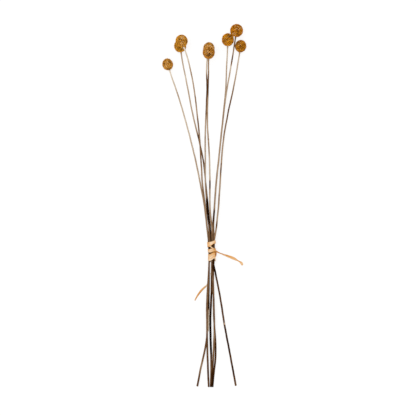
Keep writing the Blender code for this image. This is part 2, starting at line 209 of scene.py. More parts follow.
# The slantwise cut of the foot: depth as a share of the radius, and length in metres. Its face has
# rows from the pith out to the bark: share of the radius, metres sunk, and paleness.
CUT_DEPTH = 0.20
CUT_LENGTH = 0.0025
CUT_FACE = ((0.30, 0.00030, 0.35), (0.62, 0.00016, 0.70), (0.90, 0.00002, 0.25))
CUT_TONE = 0.66
PITH_COLOUR = (0.72, 0.50, 0.34, 1.0)
# How much the tone wanders along a stem, how much darker the grooves are, and the grain's pace
TONE_WANDER = 0.05
GROOVE_SHADE = 0.12
STEM_GRAIN = 45
# Tone of each stem from its foot to its head, its own colour together with painted shade: the
# near-black stretches where a stem lies under other stems, under the tie or behind a head are
# painted shade. Millimetres along the bunch, and 0 black to 1 pale
STEM_TONE_AND_SHADE = {
    "a": ((0, 0.42), (12, 0.36), (29, 0.20), (50, 0.32), (65, 0.22), (100, 0.17), (112, 0.36),
          (125, 0.33), (137, 0.28), (149, 0.35), (165, 0.28), (190, 0.33), (200, 0.06),
          (216, 0.05), (255, 0.35), (300, 0.52), (330, 0.60), (370, 0.78), (392, 0.70),
          (425, 0.78), (461, 0.85), (509, 0.74), (533, 0.85), (548, 0.96), (560, 0.80)),
    "b": ((160, 0.10), (240, 0.02), (276, 0.03), (286, 0.06), (326, 0.08), (331, 0.46),
          (372, 0.45), (400, 0.42), (428, 0.50), (435, 0.20), (441, 0.60), (466, 0.70),
          (490, 0.73), (502, 0.69), (526, 0.74), (538, 0.84), (550, 0.76), (562, 0.78),
          (574, 0.66)),
    "c": ((0, 0.30), (29, 0.31), (41, 0.38), (90, 0.42), (130, 0.45), (185, 0.40), (234, 0.40),
          (238, 0.14), (247, 0.14), (251, 0.42), (279, 0.60), (316, 0.55), (340, 0.50),
          (365, 0.62), (400, 0.50), (440, 0.50), (461, 0.45), (475, 0.65), (485, 0.66),
          (497, 0.52), (509, 0.68), (533, 0.74), (545, 0.58), (557, 0.69), (569, 0.86),
          (590, 0.95)),
    "d": ((97, 0.90), (115, 0.85), (135, 0.75), (139, 0.10), (150, 0.04), (185, 0.06),
          (205, 0.30), (234, 0.36), (238, 0.14), (247, 0.14), (251, 0.42), (270, 0.45),
          (283, 0.40), (289, 0.08), (326, 0.10), (329, 0.50), (350, 0.64), (394, 0.74),
          (422, 0.75), (434, 0.62), (445, 0.72), (468, 0.70), (476, 0.42), (502, 0.40),
          (513, 0.28), (522, 0.26), (531, 0.38), (539, 0.42), (546, 0.74), (553, 0.86),
          (575, 0.90)),
    "e": ((0, 0.22), (10, 0.44), (42, 0.46), (56, 0.28), (65, 0.08), (77, 0.00), (130, 0.03),
          (141, 0.15), (147, 0.32), (152, 0.30), (157, 0.10), (162, 0.17), (168, 0.25),
          (173, 0.33), (190, 0.28), (197, 0.50), (225, 0.50), (255, 0.45), (300, 0.60),
          (329, 0.70), (343, 0.63), (349, 0.32), (358, 0.30), (362, 0.74), (389, 0.80),
          (401, 0.74), (413, 0.62), (437, 0.60), (455, 0.72), (474, 0.62), (500, 0.60),
          (513, 0.30), (522, 0.28), (531, 0.38), (539, 0.42), (546, 0.50), (553, 0.56),
          (575, 0.58)),
    "f": ((0, 0.10), (20, 0.20), (47, 0.33), (70, 0.24), (92, 0.34), (125, 0.42), (189, 0.46),
          (200, 0.35), (206, 0.05), (224, 0.05), (228, 0.40), (278, 0.50), (316, 0.62),
          (367, 0.62), (372, 0.30), (377, 0.62), (394, 0.68), (472, 0.62), (545, 0.76),
          (557, 0.72), (569, 0.85), (581, 0.84), (592, 0.74)),
    "g": ((0, 0.10), (25, 0.20), (50, 0.45), (95, 0.50), (125, 0.44), (158, 0.40), (189, 0.44),
          (201, 0.38), (207, 0.12), (223, 0.12), (227, 0.40), (284, 0.50), (290, 0.22),
          (306, 0.18), (311, 0.60), (351, 0.66), (394, 0.68), (429, 0.66), (472, 0.60),
          (545, 0.74), (557, 0.80), (563, 0.46), (572, 0.36), (580, 0.64), (590, 0.50),
          (620, 0.40)),
    "h": ((0, 0.30), (17, 0.38), (29, 0.48), (41, 0.57), (53, 0.45), (73, 0.40), (120, 0.46),
          (146, 0.42), (168, 0.45), (194, 0.38), (222, 0.42), (237, 0.44), (242, 0.22),
          (251, 0.22), (256, 0.50), (275, 0.60), (283, 0.35), (291, 0.70), (305, 0.63),
          (329, 0.55), (341, 0.63), (366, 0.67), (377, 0.42), (389, 0.60), (413, 0.66),
          (437, 0.56), (449, 0.52), (461, 0.50), (473, 0.38), (497, 0.42), (509, 0.50),
          (521, 0.58), (533, 0.70), (557, 0.75), (574, 0.81), (584, 0.60)),
}
# Where a stem runs a little off its packed line or is fuller than it, as in the photo: close above
# the tie, under heads d and e, and along the dark lower part of stem_e. Millimetres along, to the
# right, and fuller in radius.
STEM_NUDGES = {
    "b": ((256, 0, 0), (262, 0.25, 0.30), (282, 0.35, 0.40), (292, 0.10, 0.25), (325, 0, 0.15),
          (335, 0, 0)),
    "d": ((282, 0, 0), (292, -0.30, 0.30), (318, -0.35, 0.30), (332, 0, 0.10), (340, 0, 0),
          (496, 0, 0), (526, 0.30, 0.10), (546, 0.10, 0), (560, 0, 0)),
    "e": ((45, 0, 0), (62, 0, 0.28), (150, 0, 0.30), (172, 0, 0.20), (188, 0, 0), (256, 0, 0),
          (264, -0.40, 0.30), (284, -0.40, 0.30), (292, -0.20, 0.10), (300, 0, 0), (496, 0, 0),
          (526, -0.30, 0.10), (546, -0.10, 0), (560, 0, 0)),
}
# Leaf scars: stem, millimetres along, degrees round from the right, length and height in
# millimetres, and paleness, which is below zero for a dark ring
LEAF_SCARS = (
    ("a", 111, 75, 2.6, 0.35, 1.0), ("a", 330, 150, 1.6, 0.25, 0.3), ("a", 447, 40, 1.4, 0.22, 0.2),
    ("b", 437, 60, 2.2, 0.40, -0.9), ("b", 300, 200, 1.6, 0.25, 0.2),
    ("c", 128, 120, 1.8, 0.30, 0.3), ("c", 505, 50, 1.4, 0.22, -0.3),
    ("d", 290, 150, 1.8, 0.25, 0.3), ("d", 410, 20, 1.5, 0.22, -0.4),
    ("e", 197.7, 175, 2.4, 0.80, 0.9), ("e", 431, 20, 1.8, 0.30, -0.6),
    ("f", 372, 80, 2.0, 0.35, -0.8), ("f", 150, 30, 1.6, 0.28, 0.3),
    ("g", 300, 60, 1.6, 0.25, -0.4), ("g", 90, 110, 1.6, 0.28, 0.4),
    ("h", 130, 140, 1.8, 0.30, 0.4), ("h", 388, 100, 1.6, 0.25, -0.5),
    ("h", 505, 60, 1.4, 0.22, -0.3),
)
# How far a scar spreads round the stem, in radians, and how dark a dark ring is
SCAR_SPREAD = 0.75
SCAR_SHADE = 0.45

# Raffia, as in the part: where each half turn starts, in metres along from the same zero. The layer
# says how many half turns lie under it.
RAFFIA_STARTS = (
    0.2352, 0.2486, 0.2528, 0.2392, 0.2396, 0.2378, 0.2394, 0.2290, 0.2320, 0.2236, 0.2278, 0.2225,
)
# How wide the strip is: half turns from its start, and metres
RAFFIA_WIDTHS = (
    (0.0, 0.0080), (0.8, 0.0090), (1.0, 0.0092), (1.25, 0.0082), (1.45, 0.0067), (1.7, 0.0062),
    (2.0, 0.0060), (2.5, 0.0040), (3.0, 0.0028), (3.7, 0.0026), (4.0, 0.0034), (4.5, 0.0045),
    (5.0, 0.0056), (5.5, 0.0056), (6.0, 0.0056), (6.5, 0.0046), (7.0, 0.0062), (8.0, 0.0058),
    (8.5, 0.0050), (9.0, 0.0074), (9.5, 0.0074), (10.0, 0.0062), (10.6, 0.0050),
)
RAFFIA_LAYERS = (0, 0, 1, 2, 1, 1, 2, 1, 2, 2, 3)
# How far it stands off the bunch's side where each half turn starts, in metres
RAFFIA_SLACK = (0, 0.0010, 0.0012, 0.0003, 0.0006, 0.0002, 0.0010, 0, 0.0003, 0, 0.0003, 0)
SLACK_FALL = 1.5
# The strip's path: where it is first looked for, how often it is worked out again, in how many
# steps, how much a way up counts in its climb beside a way across, and how softly it slides from
# one stem to the next, in metres
TIE_MIDDLE = 0.238
PATH_ROUNDS = 4
PATH_STEPS = 2600
SIDE_PACE = 0.15
HULL_EASE = 0.0004
RAFFIA_END = 10.6
# The strip in metres: its thickness, the height of its middle over the stems and of each layer
# over the next, and the length of a step. Its section has corners, and follows a power.
RAFFIA_THICKNESS = 0.00020
RAFFIA_LIFT = 0.00018
RAFFIA_LAYER = 0.00026
RAFFIA_STEP = 0.0004
RAFFIA_CORNERS = 30
SECTION_POWER = 0.8
# How far its line and its edges wander, in metres, and the width of a free end, as a share
LINE_WANDER = 0.0004
EDGE_WANDER = 1.6 * LINE_WANDER
WIDTH_WANDER = 0.06
# Fine ridges along it: half waves across, how far they drift, height in metres, and how much
# browner their crests are; then how much browner the strip's edges are, and how narrow that is
RIDGE_COUNTS = (3.1, 5.3, 8.2)
RIDGE_DRIFT = 2.5
RIDGE_HEIGHT = 0.00016
RIDGE_TONE = 0.20
EDGE_TONE = 0.30
EDGE_POWER = 7
# Pace of the raffia's grain across, from side to side and along
GRAIN_ACROSS = 320
GRAIN_SIDE = 0.6
GRAIN_ALONG = 55
# How brown the strip is, its own colour together with painted light: paler as a painted highlight
# where each turn crosses the top, and browner as painted shade where it wraps down the sides. Half
# turns from its start, and 0 cream to 1 orange brown
RAFFIA_WARMTH_AND_LIGHT = (
    (0.0, 0.8), (0.9, 0.75), (1.05, 0.62), (1.25, 0.50), (1.38, 0.20), (1.6, 0.20), (1.75, 0.30),
    (1.95, 0.50), (2.1, 0.65), (2.9, 0.70), (3.05, 0.60), (3.3, 0.34), (3.6, 0.40), (3.95, 0.75),
    (4.9, 0.60), (5.05, 0.40), (5.2, 0.24), (5.5, 0.20), (5.62, 0.35), (5.75, 0.72), (6.1, 0.72),
    (6.9, 0.60), (7.05, 0.45), (7.3, 0.25), (7.6, 0.36), (7.85, 0.55), (8.1, 0.60), (8.9, 0.60),
    (9.05, 0.50), (9.25, 0.24), (9.5, 0.26), (9.75, 0.40), (9.95, 0.55), (10.6, 0.60),
)
# Free ends: points across, along and up in millimetres, the half angle that the strip's edges curl
# through, its turn on its own line, both in radians, and its warmth
RIGHT_TAIL = (
    (7.2, 237.2, 7.5, 1.6, 0.0, 0.70), (9.4, 236.1, 7.3, 2.0, 0.2, 0.75),
    (12.4, 234.7, 6.7, 2.5, 0.3, 0.80), (17.0, 233.0, 6.0, 2.6, 0.5, 0.80),
    (20.8, 231.4, 5.6, 2.0, 0.3, 0.60), (28.7, 228.3, 4.6, 0.9, 0.1, 0.48),
    (34.0, 226.2, 3.9, 0.4, 0.0, 0.48), (39.3, 224.0, 3.3, 0.8, 0.1, 0.55),
    (43.4, 222.0, 3.0, 1.8, 0.3, 0.60), (47.6, 219.6, 2.7, 2.6, 0.4, 0.75),
    (50.6, 217.4, 2.6, 0.6, 0.1, 0.50), (52.4, 214.9, 2.8, 0.3, 0.0, 0.50),
    (52.9, 212.4, 3.4, 0.5, 0.1, 0.65),
)
LEFT_TAIL = (
    (2.8, 222.2, 0.75, 0.3, 0.0, 0.6), (-1.6, 221.2, 0.70, 0.9, 0.0, 0.6),
    (-4.2, 217.8, 0.65, 1.2, 0.0, 0.6), (-4.8, 210.0, 0.65, 1.3, 0.0, 0.55),
    (-4.9, 199.0, 0.65, 1.3, 0.0, 0.5), (-5.1, 189.0, 0.65, 1.3, 0.0, 0.5),
    (-6.0, 182.0, 0.70, 1.3, 0.0, 0.3), (-8.6, 177.7, 0.75, 1.2, 0.0, 0.15),
    (-12.7, 174.1, 0.80, 0.8, 0.1, 0.62), (-17.8, 169.1, 0.95, 0.5, 0.1, 0.75),
    (-23.1, 162.2, 1.15, 0.9, 0.15, 0.80), (-27.2, 155.4, 1.35, 1.6, 0.2, 0.72),
    (-29.4, 151.0, 1.60, 1.7, 0.3, 0.70),
)
SIDE_LOOP = (
    (5.4, 238.6, 10.6, 1.9, -0.35, 0.70), (6.3, 236.4, 10.7, 1.2, -0.35, 0.80),
    (6.9, 233.4, 10.4, 0.7, -0.35, 0.92), (6.7, 230.4, 10.0, 0.8, -0.30, 0.95),
    (6.0, 227.6, 9.7, 1.6, -0.25, 0.80), (5.0, 225.4, 9.6, 2.2, -0.20, 0.60),
)
SHORT_END = (
    (4.6, 229.6, 11.2, 0.8, -0.2, 0.30), (5.5, 226.4, 10.9, 0.6, -0.25, 0.15),
    (6.0, 223.2, 10.2, 0.6, -0.3, 0.12), (5.8, 219.4, 8.9, 1.4, -0.3, 0.30),
)
FOLD = (
    (1.4, 241.8, 13.9, 0.5, 0.0, 0.6), (3.2, 240.6, 12.9, 0.7, 0.0, 0.75),
    (4.8, 239.3, 11.7, 0.9, 0.0, 0.85), (6.0, 237.6, 10.3, 1.2, 0.0, 0.8),
)
STRAND = (
    (-6.5, 246.9, 8.2, 0.6, -0.5, 0.62), (-4.6, 246.2, 10.8, 0.5, -0.3, 0.52),
    (-3.0, 245.4, 11.9, 0.4, -0.2, 0.40), (-1.0, 244.2, 13.2, 0.4, 0.0, 0.35),
    (1.2, 242.5, 14.4, 0.4, 0.0, 0.50), (3.2, 240.8, 13.5, 0.5, 0.2, 0.62),
    (5.2, 238.9, 11.7, 0.6, 0.3, 0.70), (6.6, 237.5, 9.8, 0.8, 0.4, 0.75),
)
# Each free end's points, and its width in millimetres
FREE_ENDS = {
    "right_tail": (RIGHT_TAIL, 4.7),
    "left_tail": (LEFT_TAIL, 3.7),
    "loop": (SIDE_LOOP, 3.1),
    "short_end": (SHORT_END, 2.8),
    "fold": (FOLD, 2.8),
    "strand": (STRAND, 1.9),
}
# A free end's least curl in radians, how much narrower its tip is, and over what length in metres
LEAST_CURL = 0.05
TIP_TAPER = 0.55
TIP_LENGTH = 0.004
# The knot: turns, points, middle, half sizes, creep along and the strip's width, in millimetres,
# and its curl
KNOT_TURNS = 1.6
KNOT_POINTS = 14
KNOT_PLACE = (7.1, 236.4, 7.4)
KNOT_REACH = (1.25, 0.525, 1.75)
KNOT_CREEP = 2.0
KNOT_WIDTH = 2.4
KNOT_CURL = 0.5
# Seeds of the random draws. A stem's letter and a free end's number are added to theirs.
STEM_SEED = 100
WINDING_SEED = 7
FREE_END_SEED = 20
KNOT_SEED = 31


def smooth_run(points, at, values):
    """Values of a smooth cubic through the points, whose column `at` rises steadily."""
    key = points[:, at]
    span = np.diff(key)[:, None]
    slope = np.gradient(points, key, axis=0)
    index = np.clip(np.searchsorted(key, values, side="right") - 1, 0, len(key) - 2)
    step = span[index]
    t = (np.asarray(values) - key[index])[:, None] / step
    start, end = points[index], points[index + 1]
    pull, push = slope[index] * step, slope[index + 1] * step
    return (
        start * (2 * t**3 - 3 * t**2 + 1) + pull * (t**3 - 2 * t**2 + t)
        + end * (3 * t**2 - 2 * t**3) + push * (t**3 - t**2)
    )


def unit(vectors):
    """Vectors of length one."""
    return vectors / np.linalg.norm(vectors, axis=-1, keepdims=True)


def stem_line(letter):
    """Rings of a packed stem, foot to head: the mean of six corners, and their distance from it."""
    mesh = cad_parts["stem_" + letter].data
    spots = np.empty(3 * len(mesh.vertices))
    mesh.vertices.foreach_get("co", spots)
    spots = np.unique(spots.reshape(-1, 3).round(6), axis=0)
    rings = spots[np.argsort(spots[:, 1])].reshape(-1, 6, 3)
    centre = rings.mean(axis=1)
    radius = np.linalg.norm(rings - centre[:, None], axis=2).mean(axis=1)
    return np.column_stack((centre, radius))


STEM_LINES = {letter: stem_line(letter) for letter in HEADS}
ZERO = STEM_LINES["a"][0, :3] - np.array(STEM_A_FOOT) * MM


def slow_waves(along, rng, waves=5, shortest=0.012, longest=0.12):
    """A gentle random curve along a length: the sum of sines of random length and start."""
    lengths = np.geomspace(longest, shortest, waves)
    strength = rng.normal(size=waves) * (lengths / longest) ** 0.6
    turn = rng.random(waves) * 2 * math.pi
    curve = (strength * np.sin(2 * math.pi * along[..., None] / lengths + turn)).sum(axis=-1)
    return curve / np.abs(strength).sum()


def mesh_from(name, points, quads, triangles, fields):
    """A mesh object from arrays of corners and faces, with a value or a vector for each corner.

    No corner lies under the surface that the bunch lies on.
    """
    points = np.array(points)
    points[:, 2] = np.maximum(points[:, 2], 0.0)
    mesh = bpy.data.meshes.new(name)
    mesh.vertices.add(len(points))
    mesh.vertices.foreach_set("co", points.astype(np.float32).ravel())
    corners = np.concatenate((quads.ravel(), triangles.ravel()))
    starts = np.concatenate((
        np.arange(len(quads)) * 4,
        len(quads) * 4 + np.arange(len(triangles)) * 3,
    ))
    mesh.loops.add(len(corners))
    mesh.loops.foreach_set("vertex_index", corners.astype(np.int32))
    mesh.polygons.add(len(starts))
    mesh.polygons.foreach_set("loop_start", starts.astype(np.int32))
    mesh.polygons.foreach_set("use_smooth", np.ones(len(starts), dtype=bool))
    mesh.update(calc_edges=True)
    for field, values in fields.items():
        values = np.asarray(values, dtype=np.float32)
        kind, key = ("FLOAT_VECTOR", "vector") if values.ndim == 2 else ("FLOAT", "value")
        layer = mesh.attributes.new(field, kind, "POINT")
        layer.data.foreach_set(key, values.ravel())
    piece = bpy.data.objects.new(name, mesh)
    bpy.context.scene.collection.objects.link(piece)
    return piece


def tube_faces(rows, corners):
    """Faces of a tube with a pole at each end: rows of corners, then the two poles."""
    row = np.arange(rows - 1)[:, None] * corners
    here = np.arange(corners)[None, :]
    after = (here + 1) % corners
    quads = np.stack(
        (row + here, row + after, row + corners + after, row + corners + here), axis=-1)
    first, last = rows * corners, rows * corners + 1
    here, after = here[0], after[0]
    top = (rows - 1) * corners
    triangles = np.concatenate((
        np.stack((np.full(corners, first), after, here), axis=-1),
        np.stack((np.full(corners, last), top + here, top + after), axis=-1),
    ))
    return quads.reshape(-1, 4), triangles


def tube(name, grid, fields):
    """A closed tube from a grid of rows of corners; each pole is the middle of its end row."""
    rows, corners = grid.shape[:2]
    points = np.concatenate((grid.reshape(-1, 3), grid[:1].mean(axis=1), grid[-1:].mean(axis=1)))
    quads, triangles = tube_faces(rows, corners)
    spread = {}
    for field, values in fields.items():
        ends = np.stack((values[0].mean(axis=0), values[-1].mean(axis=0)))
        flat = values.reshape((rows * corners,) + values.shape[2:])
        spread[field] = np.concatenate((flat, ends))
    return mesh_from(name, points, quads, triangles, spread)


# Finishes

def node(tree, kind, inputs=None, **settings):
    """A shader node with its settings and its inputs, which are values or other nodes' outputs."""
    made = tree.nodes.new(kind)
    for key, value in settings.items():
        setattr(made, key, value)
    for key, value in (inputs or {}).items():
        if isinstance(value, bpy.types.NodeSocket):
            tree.links.new(value, made.inputs[key])
        else:
            made.inputs[key].default_value = value
    return made


def field_of(tree, name, vector=False):
    """A value or a vector that the mesh carries at its corners."""
    made = node(tree, "ShaderNodeAttribute", attribute_name=name)
    return made.outputs["Vector" if vector else "Fac"]


def maths(tree, operation, first, second=0.0, clamp=False):
    """The result of a sum on two values."""
    made = node(tree, "ShaderNodeMath", {0: first, 1: second}, operation=operation, use_clamp=clamp)
    return made.outputs[0]


def swing(tree, value, amount):
    """A value round 0.5 brought round zero, times an amount."""
    return maths(tree, "MULTIPLY", maths(tree, "SUBTRACT", value, 0.5), amount)


def blend_colours(tree, amount, first, second, mode="MIX"):
    """Two colours mixed by an amount."""
    made = node(tree, "ShaderNodeMix", data_type="RGBA", blend_type=mode)
    for index, value in ((0, amount), (6, first), (7, second)):
        if isinstance(value, bpy.types.NodeSocket):
            tree.links.new(value, made.inputs[index])
        else:
            made.inputs[index].default_value = value
    return made.outputs[2]


def ramp(tree, value, stops):
    """A colour for each value, between stops of place and colour."""
    made = node(tree, "ShaderNodeValToRGB", {"Fac": value})
    steps = made.color_ramp.elements
    while len(steps) < len(stops):
        steps.new(0.5)
    for step, (place, colour) in zip(steps, stops):
        step.position = place
        step.color = (*colour, 1.0)
    return made.outputs["Color"]


def noise(tree, vector, scale, detail=3.0, roughness=0.55):
    """Soft random values round 0.5."""
    made = node(
        tree, "ShaderNodeTexNoise",
        {"Vector": vector, "Scale": scale, "Detail": detail, "Roughness": roughness})
    return made.outputs["Fac"]


def dry_finish(name, roughness, shine=0.0):
    """An empty matt material: its node tree and its shader."""
    finish = bpy.data.materials.new(name)
    finish.use_nodes = True
    tree = finish.node_tree
    shader = tree.nodes["Principled BSDF"]
    shader.inputs["Roughness"].default_value = roughness
    shader.inputs["Specular IOR Level"].default_value = shine
    return finish, tree, shader


def bump(tree, shader, height, strength, distance):
    """Fine relief from a height."""
    made = node(
        tree, "ShaderNodeBump", {"Height": height, "Strength": strength, "Distance": distance})
    tree.links.new(made.outputs["Normal"], shader.inputs["Normal"])


def shade(colour, factor):
    """A colour made darker or lighter, channel by channel."""
    return tuple(min(1.0, channel * part) for channel, part in zip(colour, factor))


def floret_finish(letter):
    """Dry florets: ochre by tone, with painted shade in the gaps and throats, patches pale from
    fading and dark from withering, and pale arcs on heads d and e as painted rim highlights.
    """
    middle = HEAD_COLOURS[letter]
    finish, tree, shader = dry_finish("dry_florets_" + letter, 0.92, 0.04)
    spot = node(tree, "ShaderNodeTexCoord").outputs["Object"]
    blotch = noise(tree, spot, 420.0, 3.0)
    tone = maths(tree, "ADD", field_of(tree, "tone"), maths(tree, "SUBTRACT", blotch, 0.5))
    colour = ramp(tree, tone, (
        (0.00, shade(middle, (0.30, 0.27, 0.30))),
        (0.28, shade(middle, (0.62, 0.56, 0.50))),
        (0.52, middle),
        (0.78, shade(middle, (1.22, 1.28, 1.35))),
        (1.00, shade(middle, (1.40, 1.70, 2.60))),
    ))
    # Pale florets: faded ones, and the painted rim highlights on heads d and e
    colour = blend_colours(tree, field_of(tree, "faded_and_highlit"), colour, FADED_AND_HIGHLIGHT_COLOUR)
    colour = blend_colours(tree, field_of(tree, "withered"), colour, WITHERED_COLOUR)
    # Painted shade: florets darken towards their roots and throats, and the core is darkest of all
    deep = ramp(tree, field_of(tree, "depth"), (
        (0.0, (0.24, 0.15, 0.09)), (0.45, (0.74, 0.63, 0.50)), (1.0, (1.0, 1.0, 1.0))))
    colour = blend_colours(tree, 1.0, colour, deep, "MULTIPLY")
    tree.links.new(colour, shader.inputs["Base Color"])
    bump(tree, shader, noise(tree, spot, 5200.0, 2.0), 0.35, 0.00008)
    return finish


def stem_finish(letter):
    """Dry stem: dark brown to pale straw by tone, which holds painted shade where stems lie under
    others, with long streaks, blotches and fine grain.
    """
    finish, tree, shader = dry_finish("dry_stem_" + letter, 0.85)
    grain = field_of(tree, "grain", vector=True)
    streak = noise(tree, grain, 3.2, 4.0, 0.6)
    blotch = noise(tree, grain, 0.55, 3.0, 0.6)
    wander = maths(tree, "ADD", swing(tree, streak, 0.40), swing(tree, blotch, 0.20))
    tone = maths(tree, "ADD", field_of(tree, "tone"), wander, clamp=True)
    colour = ramp(tree, tone, (
        (0.00, (0.006, 0.002, 0.0006)),
        (0.20, (0.042, 0.014, 0.003)),
        (0.35, (0.102, 0.045, 0.017)),
        (0.50, (0.205, 0.118, 0.060)),
        (0.65, (0.338, 0.236, 0.154)),
        (0.80, (0.475, 0.385, 0.290)),
        (1.00, (0.680, 0.600, 0.490)),
    ))
    colour = blend_colours(tree, field_of(tree, "pale"), colour, PITH_COLOUR)
    tree.links.new(colour, shader.inputs["Base Color"])
    fibre = noise(tree, grain, 14.0, 2.0)
    bump(tree, shader, fibre, 0.5, 0.00006)
    return finish


def raffia_finish():
    """Dry palm leaf strip: cream to orange tan by warmth, with painted highlights where the turns
    cross the top and painted shade where they wrap down the sides, and fine fibres along it.
    """
    finish, tree, shader = dry_finish("raffia_strip", 0.52, 0.15)
    grain = field_of(tree, "grain", vector=True)
    fibre = noise(tree, grain, 9.0, 4.0, 0.65)
    patch = noise(tree, grain, 0.55, 3.0, 0.6)
    wander = maths(tree, "ADD", swing(tree, fibre, 0.90), swing(tree, patch, 1.8))
    warmth_and_light = maths(tree, "ADD", field_of(tree, "tone"), wander, clamp=True)
    colour = ramp(tree, warmth_and_light, (
        (0.00, (0.700, 0.540, 0.390)),
        (0.30, (0.610, 0.400, 0.220)),
        (0.60, (0.620, 0.315, 0.100)),
        (0.85, (0.490, 0.195, 0.035)),
        (1.00, (0.280, 0.095, 0.016)),
    ))
    tree.links.new(colour, shader.inputs["Base Color"])
    bump(tree, shader, fibre, 0.45, 0.00008)
    return finish


def settle(piece, finish, node_name):
    """Give a piece its finish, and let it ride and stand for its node."""
    piece.data.materials.append(finish)
    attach(piece, "root")
    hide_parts(node_name)


# Flower heads

def head_place(letter):
    """Centre of a head, its axes as columns with the stem's way last, and its half sizes."""
    row = np.array(HEADS[letter]) * MM
    centre = row[:3] + ZERO
    way = Vector(centre - STEM_LINES[letter][-1, :3]).normalized()
    turn = np.array(way.to_track_quat("Z", "Y").to_matrix())
    return centre, turn, row[[3, 3, 4]] / 2


def cluster_places(half, rng):
    """Tips of the floret clusters and the ways that they face, in the head's own axes.

    Cluster i of N stands at height 1 - (2i + 1) / N and has turned by i golden angles. Each is up
    to a few percent short of the globe, and none stands in the bare ring round the stem.
    """
    index = np.arange(CLUSTERS)
    height = 1 - (2 * index + 1) / CLUSTERS
    ring = np.sqrt(1 - height**2)
    turn = index * GOLDEN_ANGLE
    ways = np.column_stack((ring * np.cos(turn), ring * np.sin(turn), height))
    uneven = 1 - UNEVENNESS * rng.random(CLUSTERS)
    bare = (height < 0) & (half[0] * ring < BARE_RING)
    return (ways * half * uneven[:, None])[~bare], unit(ways / half)[~bare]


def side_axes(ways):
    """Two axes square to each way and to each other."""
    helper = np.where(np.abs(ways[:, 2:]) > 0.9, (1.0, 0.0, 0.0), (0.0, 0.0, 1.0))
    first = unit(np.cross(helper, ways))
    return first, np.cross(ways, first)


def floret_places(half, rng):
    """Roots, ways and radii of the florets: one in the middle of each cluster, six round it.

    The ring of a cluster stands a third of the clusters' pitch out from the middle, lower by a
    third to a half of a millimetre, and leans outwards, so that a cluster is a small dome.
    """
    tips, ways = cluster_places(half, rng)
    pitch = math.sqrt(4 * math.pi * half[0] * half[2] / CLUSTERS)
    count = len(tips)
    first, second = side_axes(ways)
    turn = (
        2 * math.pi * np.arange(FLORETS_ROUND) / FLORETS_ROUND
        + 2 * math.pi * rng.random((count, 1))
        + rng.normal(0, TURN_SPREAD, (count, FLORETS_ROUND))
    )
    reach = pitch * RING_REACH * (1 + rng.normal(0, REACH_SPREAD, (count, FLORETS_ROUND)))
    lean = np.cos(turn)[..., None] * first[:, None] + np.sin(turn)[..., None] * second[:, None]
    drop = RING_DROP + MORE_DROP * rng.random((count, FLORETS_ROUND, 1))
    ring = tips[:, None] - ways[:, None] * drop + lean * reach[..., None]
    places = np.concatenate((tips[:, None], ring), axis=1).reshape(-1, 3)
    facing = np.concatenate((ways[:, None], unit(ways[:, None] + RING_LEAN * lean)), axis=1)
    facing = unit(facing.reshape(-1, 3) + rng.normal(0, FACING_SPREAD, (len(places), 3)))
    size = pitch * FLORET_SIZE * (1 + rng.normal(0, SIZE_SPREAD, len(places)))
    places -= facing * (FLORET_SINK + MORE_SINK * rng.random(len(places))**2)[:, None]
    return places, facing, size, np.repeat(np.arange(count), FLORETS_ROUND + 1)


def floret_grid(places, facing, size, rng):
    """Corners of all florets: a profile turned round each floret's way, its rim in five lobes.

    At turn t the rim's radius is 1 + LOBE_REACH cos 5t and its height LOBE_RISE cos 5t, in floret
    radii, so every second corner of the ten is the tip of a lobe.
    """
    profile = np.array(FLORET_PROFILE)
    turn = 2 * math.pi * np.arange(FLORET_CORNERS) / FLORET_CORNERS
    lobe = np.cos(5 * turn)
    rim = (profile[:, 2] == 1.0)[:, None]
    radius = profile[:, :1] * (1 + rim * LOBE_REACH * lobe)
    height = profile[:, 1:2] + rim * LOBE_RISE * lobe
    twist = (rng.random(len(places)) * 2 * math.pi)[:, None] + turn
    first, second = side_axes(facing)
    spoke = (
        np.cos(twist)[..., None] * first[:, None] + np.sin(twist)[..., None] * second[:, None]
    )
    scale = size[:, None, None, None]
    return (
        places[:, None, None]
        + spoke[:, None] * radius[None, :, :, None] * scale
        + facing[:, None, None] * height[None, :, :, None] * scale
    )


def patches(ways, spots, rng):
    """For each way from the head's middle, whether it has turned: more likely near a spot.

    The chance is the spot's share times PATCH_PULL times exp(-(distance / size)^2).
    """
    turned = np.zeros(len(ways))
    for across, along, size, share in spots:
        middle = np.array((across, along, math.sqrt(max(0.0, 1 - across**2 - along**2))))
        near = np.exp(-((np.linalg.norm(ways - middle, axis=1) / size) ** 2))
        turned = np.maximum(turned, near * share * PATCH_PULL)
    return turned > rng.random(len(ways))


def turned_florets(ways, spots, rule, rng):
    """How far each floret has turned: those of the patches, and a few strays."""
    least, strays, stray_depth = rule
    turned = patches(ways, spots, rng) * (least + TURNED_MORE * rng.random(len(ways)))
    return np.maximum(turned, (rng.random(len(ways)) < strays) * stray_depth)


